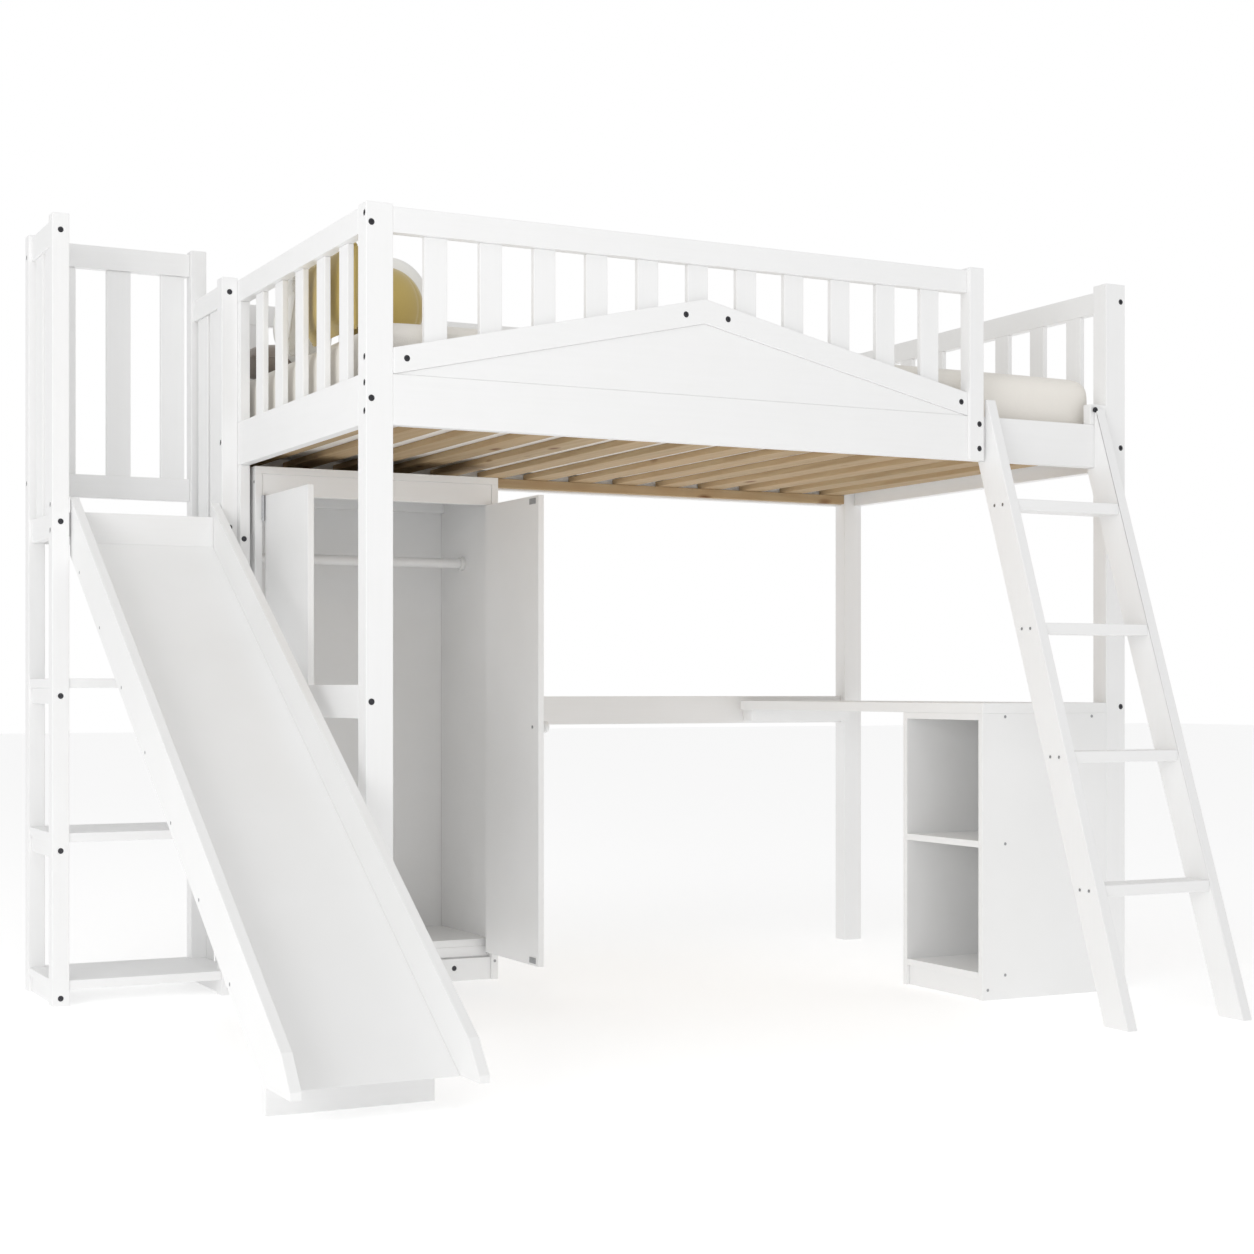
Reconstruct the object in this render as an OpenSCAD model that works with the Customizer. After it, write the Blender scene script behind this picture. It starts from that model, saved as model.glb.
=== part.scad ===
// Loft bed with a desk, a wardrobe, a ladder and a slide tower.
// Millimetres, +Z up. Lengths run along X, the front is at low Y, the floor is Z = 0.

/* [Bed frame] */
// Length of the bed over its posts
bed_length = 2010; // [1850:10:2200]
// Width of the bed over its posts
bed_width = 1150; // [1050:10:1400]
// Height of the guard over the bed rails, up to the post tops
guard_height = 350; // [300:5:450]
// Width of a bed post, along the bed's length
post_w = 60; // [50:1:70]
// Depth of a bed post, across the bed
post_d = 46; // [40:1:60]
// Height of the underside of the bed rails
rail_z = 1285; // [1200:5:1330]
// Depth of a bed rail
rail_h = 105; // [95:1:120]
// Thickness of the rails
rail_t = 25; // [22:1:30]
// Depth of the top guard rail
guard_rail_h = 53; // [45:1:60]
// Gap between the top guard rail and the post tops
guard_drop = 6; // [3:1:12]

/* [Guard slats] */
// Width of a guard slat
slat_w = 52; // [45:1:60]
// Thickness of a guard slat
slat_t = 14; // [10:1:16]
// Number of slats in the front guard
front_slats = 11; // [9:1:12]
// Number of slats in the left guard
left_slats = 5; // [4:1:6]
// Number of slats in the right guard
right_slats = 7; // [5:1:8]
// Number of slats in the back guard
back_slats = 14; // [12:1:16]

/* [Gable front] */
// Distance of the gable's peak from the middle of the front guard
gable_shift = 12.5; // [-50:0.5:50]
// Height of the gable's peak above the bed rail
gable_rise = 215; // [180:5:240]
// Height of a gable board, measured upright
gable_board_h = 54; // [45:1:65]
// How far the gable boards stand in front of the bed rail
gable_proud = 3; // [1:1:8]

/* [Ladder] */
// Clear width of the gap in the front guard
entry_w = 384; // [360:2:420]
// Width of the guard post beside the gap
guard_post_w = 41; // [35:1:50]
// How far the guard post stands in front of the bed rail
guard_post_proud = 11; // [8:1:20]
// Thickness of a ladder stringer
stringer_t = 27; // [22:1:32]
// Distance of the ladder's foot in front of the bed
ladder_reach = 480; // [400:5:560]
// Depth of a ladder stringer, measured level
stringer_d = 75; // [70:1:90]
// Height of the lowest rung's tread
rung_first_z = 307; // [250:1:330]
// Thickness of a rung
rung_t = 26; // [20:1:32]
// Number of rungs
rungs = 4; // [3:1:4]

/* [Bed base] */
// Number of slats under the mattress
base_slats = 14; // [11:1:16]
// Width of a slat under the mattress
base_slat_w = 66; // [55:1:75]
// Thickness of a slat under the mattress
base_slat_t = 15; // [12:1:20]
// Width of a slat ledger
ledger_w = 20; // [18:1:30]
// Height of a slat ledger
ledger_h = 25; // [20:1:30]
// Height of the ledgers above the underside of the rails
ledger_lift = 5; // [2:1:12]

/* [Tower] */
// Length of the tower along the bed's length
tower_w = 450; // [430:5:520]
// Side of a square tower post
tower_post = 40; // [35:1:45]
// Depth of the tower over its posts
tower_d = 299; // [290:1:400]
// How far the three tall tower posts stand above the bed posts
tower_rise = 115; // [60:5:200]
// Distance of the platform's surface below the underside of the bed rails
platform_drop = 128; // [100:1:180]
// Depth of the platform rails
platform_rail_h = 57; // [50:1:70]
// Thickness of the platform and of the tower shelves
tower_board_t = 22; // [18:1:25]
// Heights of the shelf surfaces
shelf_tops = [60, 405, 767];
// Depth of a shelf rail
shelf_rail_h = 38; // [30:1:38]
// Width of the slats in the tower's back guard
tower_slat_w = 61; // [50:1:70]

/* [Slide] */
// Thickness of a slide side
slide_side_t = 21; // [18:1:24]
// Depth of a slide side, measured upright
slide_side_h = 139; // [120:1:150]
// How far the slide's top end stands above the platform
slide_rise = 37; // [30:1:50]
// Level distance from the slide's top end to its foot
slide_run = 1556; // [1400:4:1700]
// Height of the underside of the slide's sides at its foot
slide_foot_z = 64; // [40:1:90]
// Level length of the flat underside at the slide's foot
slide_foot_l = 140; // [100:5:200]
// Thickness of the sliding board
slide_board_t = 12; // [9:1:15]
// Depth of the sliding board below the tops of the sides, measured upright
slide_board_drop = 95; // [60:1:100]

/* [Wardrobe] */
// Distance of the wardrobe from the bed's left face
wardrobe_x = 35; // [30:1:60]
// Width of the wardrobe
wardrobe_w = 650; // [600:5:760]
// Depth of the wardrobe
wardrobe_d = 328; // [310:1:360]
// Thickness of the wardrobe's panels
panel_t = 18; // [15:1:20]
// Height of the board above the doors
apron_h = 53; // [40:1:70]
// Height of the plinth
plinth_h = 57; // [50:1:57]
// Height of the lower edge of the doors
door_z = 71; // [68:1:74]
// Thickness of a door
door_t = 15; // [12:1:16]
// Distance of the hanging rail's centre below the top of the wardrobe
hanging_drop = 210; // [150:5:260]
// Radius of the hanging rail
hanging_r = 12.5; // [10:0.5:15]
// Height of the door knobs
knob_z = 650; // [600:1:900]

/* [Desk] */
// Height of the desk's surface
desk_z = 709; // [700:1:740]
// Thickness of the desk's top
desk_t = 25; // [20:1:30]
// Depth of the desk, along the bed's length
desk_d = 379; // [350:1:450]
// Radius of the desk's rounded corner
desk_corner_r = 30; // [10:1:60]
// Width of the cabinet under the desk
cabinet_w = 310; // [280:1:400]
// Thickness of the cabinet's panels
cabinet_t = 16; // [12:1:18]
// Height of the cabinet's base
cabinet_base_h = 50; // [45:1:80]
// Height of the cabinet shelf's surface
cabinet_shelf_z = 380; // [300:1:450]

/* [Bedding] */
// Thickness of the mattress
mattress_t = 185; // [140:5:200]

/* [Hidden] */
$fn = 32;
e = 1;
white_paint = "whitesmoke";
pine = "burlywood";
black_steel = [0.12, 0.12, 0.13];

// Frame origin: middle of the footprint, on the floor.
centre_x = (bed_length - tower_w) / 2;
slide_foot_y = bed_width - tower_d + tower_post - rail_t - slide_run;
centre_y = (bed_width + min(-ladder_reach, slide_foot_y)) / 2;

// Bed frame heights and planes.
rail_top = rail_z + rail_h;
post_height = rail_top + guard_height;
guard_z = post_height - guard_drop - guard_rail_h;
inner_l = post_w;
inner_r = bed_length - post_w;
back_rail_y = bed_width - rail_t;
slat_inset = rail_t - slat_t;
guard_post_x = inner_r - entry_w - guard_post_w;
gable_peak_x = (inner_l + guard_post_x) / 2 + gable_shift;
tower_front = bed_width - tower_d;
stile_d = 36;
stile_lap = 19;
stile_y = tower_front - stile_lap;
leg_w = 25;
leg_back_d = 40;
mid_rail_h = 70;
mid_rail_z = 681;
back_mid_h = 78;
back_mid_z = 644;

// Ladder planes.
ladder_play = 11.5;
ladder_over = 40;
ladder_top_in = 6;
ladder_top_z = rail_top + ladder_over;
ladder_w = entry_w - 2 * ladder_play;
ladder_mid = inner_r - entry_w / 2;
ladder_xs = [ladder_mid - ladder_w / 2, ladder_mid + ladder_w / 2 - stringer_t];
rung_top_gap = 96;
rung_pitch = (rail_z - rung_top_gap - rung_first_z) / (rungs - 1);
rung_zs = [for (i = [0 : rungs - 1]) rung_first_z + rung_pitch * i];
rung_d = stringer_d - 2;

// Bolts: [x, y, z, direction into the wood, length].
bolt_r = 3;
bolt_head_r = 6.5;
bolt_head_t = 2.5;
bolt_sink = 4;
bolt_play = 0.2;
bolt_bite = 30;
bolt_skin = 4;
mid_t = rail_t / 2;
rail_bolt_zs = [rail_z + 27, rail_z + 85];
side_bolt_zs = [guard_z + 17, rail_z + rail_h / 2];
face_bolt_zs = concat([guard_z + 37], rail_bolt_zs);
front_left_bolts = concat(
  [for (z = side_bolt_zs) [mid_t, 0, z, "y", post_d + bolt_bite]],
  [for (z = face_bolt_zs) [0, mid_t, z, "x", post_w + bolt_bite]],
  [[0, mid_t, rail_top + 33, "x", post_w - bolt_skin],
   [mid_t, 0, mid_rail_z + mid_rail_h / 2, "y", post_d + bolt_bite]]
);
front_right_bolts = concat(
  [for (z = side_bolt_zs) [bed_length - mid_t, 0, z, "y", post_d + bolt_bite]],
  [for (z = rail_bolt_zs) [bed_length, mid_t, z, "-x", post_w + bolt_bite]],
  [[bed_length - mid_t, 0, desk_z - 10, "y", post_d - bolt_skin]]
);
back_right_bolts = concat(
  [for (z = side_bolt_zs) [bed_length - mid_t, bed_width, z, "-y", post_d + bolt_bite]],
  [for (z = face_bolt_zs) [bed_length, bed_width - mid_t, z, "-x", post_w + bolt_bite]],
  [[bed_length, bed_width - mid_t, back_mid_z + back_mid_h / 2, "-x", post_w + bolt_bite]]
);
guard_post_bolts = [for (z = rail_bolt_zs)
  [guard_post_x + guard_post_w - 12, -guard_post_proud, z, "y",
    guard_post_proud + rail_t - bolt_skin]];
block_w = 50;
ladder_block_bolts = [[inner_r - 38, -ladder_top_in - 1, rail_top + 36, "y", rail_t + 3]];
gable_bolt_xs = [inner_l + 30, gable_peak_x - 50, gable_peak_x + 58, guard_post_x - 18];
gable_bolts = [for (x = gable_bolt_xs) [x, -gable_proud, gable_mid(x), "y", 12]];
leg_bolts = [[leg_w / 2 - 2, stile_y, rail_z - 179, "y", stile_d - bolt_skin]];

// Tower planes.
tower_l = -tower_w;
tower_height = post_height + tower_rise;
platform_z = rail_z - platform_drop;
post_mid = tower_post / 2;
tower_back = bed_width;
tower_side_t = 25;
side_in = (tower_post - tower_side_t) / 2;
side_y0 = tower_front + tower_post;
side_y1 = tower_back - tower_post;
side_xs = [tower_l + side_in, -tower_post + side_in];
tower_guard_h = 57;
tower_guard_z = tower_height - 8 - tower_guard_h;
tower_low_z = platform_z + 62;
short_guard_z = guard_z - 7;
front_rail_y = tower_front + tower_post - rail_t;
platform_low = platform_z - platform_rail_h;
tower_post_xs = [tower_l + post_mid, -post_mid];
tower_side_zs = concat([for (t = shelf_tops) t - tower_board_t - shelf_rail_h / 2],
  [platform_z - 23]);
tower_bolts = concat(
  [for (x = tower_post_xs) for (z = tower_side_zs) [x, tower_front, z, "y", tower_post + bolt_bite]],
  [for (x = tower_post_xs) for (z = tower_side_zs) [x, tower_back, z, "-y", tower_post + bolt_bite]],
  [for (y = [[tower_front, "y"], [tower_back, "-y"]])
    [tower_post_xs[0], y[0], tower_guard_z + 26, y[1], tower_post + bolt_bite]],
  [for (y = [[tower_front, "y"], [tower_back, "-y"]])
    [tower_post_xs[1], y[0], short_guard_z + 31, y[1], tower_post + bolt_bite]],
  [for (z = [tower_guard_z + 14, tower_low_z + 29])
    [tower_l, tower_back - mid_t, z, "x", tower_post + bolt_bite]],
  [[tower_l, front_rail_y + mid_t, platform_z - 42, "x", tower_post + bolt_bite],
   [tower_l, front_rail_y + mid_t, platform_z + 18, "x", tower_post - bolt_skin],
   [-tower_post, tower_front + post_mid - 6, rail_z + 55, "x", tower_post + rail_t - bolt_skin]]
);

// Slide, in its own frame: X across from its left face, -Y down the slide from its top end.
slide_play = 7;
slide_gap = 2;
slide_w = tower_w - 2 * tower_post - slide_play;
slide_x = -tower_post - slide_gap - slide_w;
slide_top_y = front_rail_y;
slide_top_z = platform_z + slide_rise;
slide_fall = (slide_top_z - slide_side_h - slide_foot_z) / (slide_run - slide_foot_l);
slide_board_h = slide_board_t * sqrt(1 + slide_fall * slide_fall);
slide_header_t = 20;
slide_header_z = platform_z - 73;
slide_nose_l = 45;
slide_nose_h = 14;

// Wardrobe planes.
wardrobe_gap = 2;
wardrobe_h = rail_z - wardrobe_gap;
wardrobe_front = bed_width - wardrobe_d;
wardrobe_r = wardrobe_x + wardrobe_w;
in_l = wardrobe_x + panel_t;
in_r = wardrobe_r - panel_t;
carcass_h = wardrobe_h - panel_t;
apron_z = carcass_h - apron_h;
back_t = 6;
back_y = bed_width - back_t;
step_in = door_t + 2;
floor_z = door_z + 15;
strip_z = plinth_h + 3;
door_h = apron_z - 1 - door_z;
hanging_y = wardrobe_front + 178;
hanging_z = wardrobe_h - hanging_drop;

// Door hinges: the leaves are 1 mm plates, and the pin lies just in front of the doors.
leaf_t = 1;
leaf_gap = 0.2;
leaf_play = leaf_t + leaf_gap / 2;
knuckle_r = 4;
hinge_pin_r = 1.45;
hinge_bore_r = 1.5;
hinge_h = 60;
leaf_reach = 15.5;
hinge_screw_in = 9;
hinge_screw_rise = 20;
knuckle_gap = 0.3;
hinge_y = wardrobe_front - knuckle_r - leaf_gap - 0.1;
hinge_zs = [door_z + 27, door_z + door_h - 27 - 3];
door_gap = 2;
door_w = (in_r - in_l - door_gap) / 2 - 2 * leaf_play;
knob_in = 32;

// Desk planes.
desk_gap = 9;
desk_l = bed_width - post_d - desk_gap;
desk_x = inner_r - desk_d;
desk_low = desk_z - desk_t;
bearer_h = 34;
bearer_t = 50;
bearer_in = 40;
cabinet_back_y = cabinet_w - cabinet_t;
cabinet_base_in = 8;

// Soft parts.
soft_gap = 0.4;
mattress_z = rail_z + ledger_lift + ledger_h + base_slat_t;
mattress_top = mattress_z + mattress_t + soft_gap;
mattress_end_gap = 20;
mattress_side_gap = 6;
mattress_x = rail_t + mattress_end_gap;
mattress_y = post_d + mattress_side_gap;
mattress_l = bed_length - 2 * mattress_x;
mattress_w = bed_width - 2 * mattress_y;
mattress_r = 45;
pillow_t = 110;
pillow_l = 435;
pillow_h = 215;
pillow_side_gap = 8;
pillow_r = 30;
pillow_x = rail_t + pillow_side_gap;
pillow_y = mattress_y + 30;
back_pillow_x = mattress_x + 335;
cushion_l = 230;
cushion_h = 262;
cushion_t = 90;
cushion_turn = -26;
cushion_x = pillow_x + 122;
cushion_y = mattress_y + 693;
cushion_r = 20;
flat_cushion = [200, 200, 95];
flat_cushion_x = mattress_x + 5;
flat_cushion_gap = 6;
ball_r = 95;
ball_gap = 3;
ball_y = mattress_y + 478;

// Heights of the gable boards' lower edge and middle at a place along the bed.
function gable_low(x) = x < gable_peak_x
  ? rail_top + (gable_rise - gable_board_h) * (x - inner_l) / (gable_peak_x - inner_l)
  : rail_top + (gable_rise - gable_board_h) * (guard_post_x - x) / (guard_post_x - gable_peak_x);
function gable_mid(x) = gable_low(x) + gable_board_h / 2;
// Level position of the ladder stringer's front edge at a height.
function ladder_front(z) = -ladder_reach + (ladder_reach - ladder_top_in) * z / ladder_top_z;
// Start of item i when n items of width w share a span with equal gaps.
function spread(from, to, n, w, i) = from + (to - from - n * w) / (n + 1) * (i + 1) + w * i;

module place() translate([-centre_x, -centre_y, 0]) children();
module board(low, high) translate(low) cube(high - low);
module into(p)
  translate([p[0], p[1], p[2]])
    rotate(p[3] == "x" ? [0, 90, 0] : p[3] == "-x" ? [0, -90, 0]
      : p[3] == "y" ? [-90, 0, 0] : [90, 0, 0])
      children();
module bolt_holes(list)
  for (b = list)
    into(b) {
      translate([0, 0, -e]) cylinder(r = bolt_head_r + bolt_play, h = bolt_sink + e);
      cylinder(r = bolt_r + bolt_play, h = b[4] + e);
    }
module bolts(list)
  for (b = list)
    into(b)
      difference() {
        union() {
          translate([0, 0, bolt_sink - bolt_head_t]) cylinder(r = bolt_head_r, h = bolt_head_t);
          translate([0, 0, bolt_sink - e]) cylinder(r = bolt_r, h = b[4] - bolt_sink + e);
        }
        translate([0, 0, bolt_sink - bolt_head_t - e]) cylinder(r = 2.6, h = 1.6 + e, $fn = 6);
      }
module drilled(list)
  difference() {
    children();
    bolt_holes(list);
  }

// Bed frame.
module post_front_left() place() color(white_paint)
  drilled(front_left_bolts) board([0, 0, 0], [post_w, post_d, post_height]);
module post_front_right() place() color(white_paint)
  drilled(front_right_bolts) board([inner_r, 0, 0], [bed_length, post_d, post_height]);
module post_back_right() place() color(white_paint)
  drilled(back_right_bolts)
    board([inner_r, bed_width - post_d, 0], [bed_length, bed_width, post_height]);
module guard_post() place() color(white_paint)
  drilled(guard_post_bolts)
    union() {
      board([guard_post_x, -guard_post_proud, rail_z],
        [guard_post_x + guard_post_w, 0, post_height]);
      board([guard_post_x, -e, rail_top],
        [guard_post_x + guard_post_w, rail_t, post_height]);
    }
module left_legs() place() color(white_paint) {
  difference() {
    board([0, stile_y, 0], [leg_w, stile_y + stile_d, rail_z]);
    bolt_holes(leg_bolts);
  }
  board([0, bed_width - leg_back_d, 0], [leg_w - 5, bed_width, rail_z]);
}
module rail_front() place() color(white_paint)
  drilled(concat(front_left_bolts, front_right_bolts, guard_post_bolts))
    board([inner_l, 0, rail_z], [inner_r, rail_t, rail_top]);
module rail_back() place() color(white_paint)
  drilled(back_right_bolts) board([rail_t, back_rail_y, rail_z], [inner_r, bed_width, rail_top]);
module rail_left() place() color(white_paint)
  drilled(concat(front_left_bolts, tower_bolts))
    board([0, post_d, rail_z], [rail_t, bed_width, rail_top]);
module rail_right() place() color(white_paint)
  drilled(concat(front_right_bolts, back_right_bolts))
    board([bed_length - rail_t, post_d, rail_z], [bed_length, bed_width - post_d, rail_top]);

// Guards round the mattress.
module guard_top_rails() place() color(white_paint)
  drilled(concat(front_left_bolts, front_right_bolts, back_right_bolts)) {
    board([inner_l, 0, guard_z], [guard_post_x, rail_t, guard_z + guard_rail_h]);
    board([0, post_d, guard_z], [rail_t, stile_y + stile_d, guard_z + guard_rail_h]);
    board([bed_length - rail_t, post_d, guard_z],
      [bed_length, bed_width - post_d, guard_z + guard_rail_h]);
    board([rail_t, back_rail_y, guard_z], [inner_r, bed_width, guard_z + guard_rail_h]);
  }
module guard_slats() place() color(white_paint) {
  for (i = [0 : front_slats - 1])
    translate([spread(inner_l, guard_post_x, front_slats, slat_w, i), slat_inset, rail_top])
      cube([slat_w, slat_t, guard_z - rail_top]);
  for (i = [0 : left_slats - 1])
    translate([slat_inset, spread(post_d, stile_y, left_slats, slat_w, i), rail_top])
      cube([slat_t, slat_w, guard_z - rail_top]);
  for (i = [0 : right_slats - 1])
    translate([bed_length - rail_t, spread(post_d, bed_width - post_d, right_slats, slat_w, i),
      rail_top])
      cube([slat_t, slat_w, guard_z - rail_top]);
  for (i = [0 : back_slats - 1])
    translate([spread(rail_t, inner_r, back_slats, slat_w, i), back_rail_y, rail_top])
      cube([slat_w, slat_t, guard_z - rail_top]);
}
module guard_stiles() place() color(white_paint) {
  board([0, stile_y, rail_top], [rail_t, stile_y + stile_d, guard_z]);
  board([0, bed_width - leg_back_d, rail_top], [rail_t, bed_width, post_height]);
}

// Gable on the front guard.
module gable_profile(points) translate([0, slat_inset, 0]) rotate([90, 0, 0])
  linear_extrude(slat_inset + gable_proud) polygon(points);
module gable_boards() place() color(white_paint)
  drilled(gable_bolts) {
    for (x = [inner_l, guard_post_x])
      gable_profile([[x, rail_top], [gable_peak_x, gable_low(gable_peak_x)],
        [gable_peak_x, gable_low(gable_peak_x) + gable_board_h], [x, rail_top + gable_board_h]]);
  }
module gable_panel() place() color(white_paint)
  translate([0, slat_inset, 0]) rotate([90, 0, 0])
    linear_extrude(slat_inset - 2)
      polygon([[inner_l, rail_top], [guard_post_x, rail_top],
        [gable_peak_x, gable_low(gable_peak_x)]]);

// Mattress base.
module slat_ledgers() place() color(pine)
  for (y = [rail_t, back_rail_y - ledger_w])
    board([inner_l, y, rail_z + ledger_lift], [inner_r, y + ledger_w, rail_z + ledger_lift + ledger_h]);
module bed_slats() place() color(pine)
  for (i = [0 : base_slats - 1]) {
    pitch = (inner_r - inner_l - base_slat_w - 20) / (base_slats - 1);
    translate([inner_l + 10 + pitch * i, rail_t + 1, rail_z + ledger_lift + ledger_h])
      cube([base_slat_w, bed_width - 2 * rail_t - 2, base_slat_t]);
  }
module back_mid_rail() place() color(white_paint)
  drilled(back_right_bolts)
    board([wardrobe_r, back_rail_y, back_mid_z], [inner_r, bed_width, back_mid_z + back_mid_h]);
module left_mid_rail() place() color(white_paint)
  drilled(front_left_bolts)
    board([0, post_d, mid_rail_z], [rail_t, stile_y, mid_rail_z + mid_rail_h]);

// Ladder.
ladder_screws = [for (z = rung_zs) for (k = [0.3, 0.7])
  [ladder_xs[0], ladder_front(z) + rung_d * k, z - rung_t / 2, "x", stringer_t + 20]];
module ladder_stringers() place() color(white_paint)
  difference() {
    for (x = ladder_xs)
      translate([x, 0, 0]) rotate([90, 0, 90])
        linear_extrude(stringer_t)
          polygon([[-ladder_reach, 0], [stringer_d - ladder_reach, 0], [rail_t + 1, rail_z],
            [0, rail_z], [0, ladder_top_z], [-ladder_top_in, ladder_top_z]]);
    screw_holes(ladder_screws);
    bolt_holes(ladder_block_bolts);
  }
module ladder_rungs() place() color(white_paint)
  difference() {
    for (z = rung_zs)
      board([ladder_xs[0] + stringer_t, ladder_front(z), z - rung_t],
        [ladder_xs[1], ladder_front(z) + rung_d, z]);
    screw_holes(ladder_screws);
  }
module ladder_block() place() color(white_paint)
  drilled(ladder_block_bolts)
    board([inner_r - block_w, 0, rail_top], [inner_r, rail_t, rail_top + block_w]);

// Screws: [x, y, z, direction into the wood, length].
screw_r = 1.7;
screw_head_r = 3.6;
screw_sink = 1.6;
module screw_holes(list)
  for (b = list)
    into(b) {
      translate([0, 0, -e]) cylinder(r = screw_head_r + 0.2, h = screw_sink + e);
      cylinder(r = screw_r + 0.2, h = b[4] + e);
    }
module screws(list)
  for (b = list)
    into(b)
      difference() {
        union() {
          translate([0, 0, 0.3]) cylinder(r = screw_head_r, h = screw_sink - 0.3);
          translate([0, 0, screw_sink - 0.5]) cylinder(r = screw_r, h = b[4] - screw_sink);
        }
        translate([0, 0, -e]) cylinder(r = 1.4, h = e + 1, $fn = 4);
      }

// Slide tower.
module tower_posts() place() color(white_paint)
  drilled(tower_bolts) {
    board([tower_l, tower_front, 0], [tower_l + tower_post, side_y0, tower_height]);
    board([tower_l, side_y1, 0], [tower_l + tower_post, tower_back, tower_height]);
    board([-tower_post, side_y1, 0], [0, tower_back, tower_height]);
    board([-tower_post, tower_front, 0], [0, side_y0, post_height]);
  }
module tower_guard_rails() place() color(white_paint)
  drilled(tower_bolts) {
    board([side_xs[0], side_y0, tower_guard_z],
      [side_xs[0] + tower_side_t, side_y1, tower_guard_z + tower_guard_h]);
    board([side_xs[1], side_y0, short_guard_z],
      [side_xs[1] + tower_side_t, side_y1, short_guard_z + guard_rail_h]);
    for (z = [tower_guard_z, tower_low_z])
      board([tower_l + tower_post, tower_back - rail_t, z],
        [-tower_post, tower_back, z + tower_guard_h]);
  }
left_slat_w = 70;
right_slat_w = 82;
tower_slat_in = (tower_side_t - slat_t) / 2;
back_slat_pitch = (tower_w - 2 * tower_post) * 3 / 8;
back_slat_mid = 4 - tower_w / 2;
module tower_guard_slats() place() color(white_paint) {
  low = tower_low_z + tower_guard_h;
  for (k = [-1 : 1])
    translate([back_slat_mid + back_slat_pitch * k - tower_slat_w / 2,
      tower_back - rail_t + tower_slat_in, low])
      cube([tower_slat_w, slat_t, tower_guard_z - low]);
  for (i = [0 : 1]) {
    translate([side_xs[0] + tower_slat_in, spread(side_y0, side_y1, 2, left_slat_w, i), platform_z])
      cube([slat_t, left_slat_w, tower_guard_z - platform_z]);
    translate([side_xs[1] + tower_slat_in, spread(side_y0, side_y1, 2, right_slat_w, i), platform_z])
      cube([slat_t, right_slat_w, short_guard_z - platform_z]);
  }
}
module tower_platform_rails() place() color(white_paint)
  drilled(tower_bolts) {
    for (x = side_xs)
      board([x, side_y0, platform_low], [x + tower_side_t, side_y1, platform_z]);
    board([tower_l + tower_post, front_rail_y, platform_low], [-tower_post, side_y0, platform_z]);
    board([tower_l + tower_post, tower_back - rail_t, platform_low],
      [-tower_post, tower_back, platform_z - tower_board_t]);
  }
module tower_platform() place() color(white_paint)
  union() {
    board([side_xs[0] + tower_side_t, side_y0, platform_z - tower_board_t],
      [side_xs[1], side_y1, platform_z]);
    board([tower_l + tower_post, side_y1 - e, platform_z - tower_board_t],
      [-tower_post, tower_back, platform_z]);
  }
module tower_shelf_rails() place() color(white_paint)
  drilled(tower_bolts) {
    for (x = side_xs)
      for (t = shelf_tops)
        board([x, side_y0, t - tower_board_t - shelf_rail_h], [x + tower_side_t, side_y1,
          t - tower_board_t]);
  }
shelf_front_in = 4;
shelf_back_in = 10;
shelf_end_in = 3;
module tower_shelves() place() color(white_paint)
  for (t = shelf_tops)
    translate([0, 0, t - tower_board_t]) {
      board([tower_l + tower_post, tower_front + shelf_front_in, 0],
        [-tower_post, tower_back - shelf_back_in, tower_board_t]);
      board([tower_l + shelf_end_in, side_y0, 0],
        [tower_l + tower_post + e, side_y1, tower_board_t]);
      board([-tower_post - e, side_y0, 0], [-shelf_end_in, side_y1, tower_board_t]);
    }

// Slide.
module slide_frame() translate([slide_x, slide_top_y, 0]) children();
module slide_plank(x, w, points)
  slide_frame() translate([x, 0, 0]) rotate([90, 0, 90]) linear_extrude(w) polygon(points);
// Heights of the sides' tops and of the sliding board at a level distance down the slide.
function slide_side_at(y) = slide_top_z - slide_fall * y;
function slide_board_at(y) = slide_side_at(y) - slide_board_drop;
board_end = (slide_top_z - slide_board_drop - slide_foot_z) / slide_fall;
board_under_end = board_end - slide_board_h / slide_fall;
slide_side_points = [
  [0, slide_top_z - slide_side_h], [0, slide_top_z],
  [slide_nose_l - slide_run, slide_side_at(slide_run - slide_nose_l)],
  [-slide_run, slide_foot_z + slide_nose_h], [-slide_run, slide_foot_z],
  [slide_foot_l - slide_run, slide_foot_z]
];
slide_screw_first = 90;
slide_screw_pitch = 190;
slide_screw_drop = 25;
slide_screws = [for (i = [0 : 6]) for (s = [[0, "x"], [slide_w, "-x"]])
  [slide_x + s[0], slide_top_y - slide_screw_first - slide_screw_pitch * i,
    slide_board_at(slide_screw_first + slide_screw_pitch * i) - slide_screw_drop,
    s[1], slide_side_t - 3]];
module slide_side(x)
  difference() {
    slide_plank(x, slide_side_t, slide_side_points);
    screw_holes(slide_screws);
  }
module slide_side_left() place() color(white_paint) slide_side(0);
module slide_side_right() place() color(white_paint) slide_side(slide_w - slide_side_t);
module slide_board() place() color(white_paint)
  slide_plank(slide_side_t, slide_w - 2 * slide_side_t, [
    [-slide_header_t, slide_board_at(slide_header_t)],
    [-board_end, slide_foot_z],
    [-board_under_end, slide_foot_z],
    [-slide_header_t, slide_board_at(slide_header_t) - slide_board_h]]);
module slide_header() place() color(white_paint)
  slide_frame()
    board([slide_side_t, -slide_header_t, slide_header_z], [slide_w - slide_side_t, 0, platform_z]);
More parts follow.
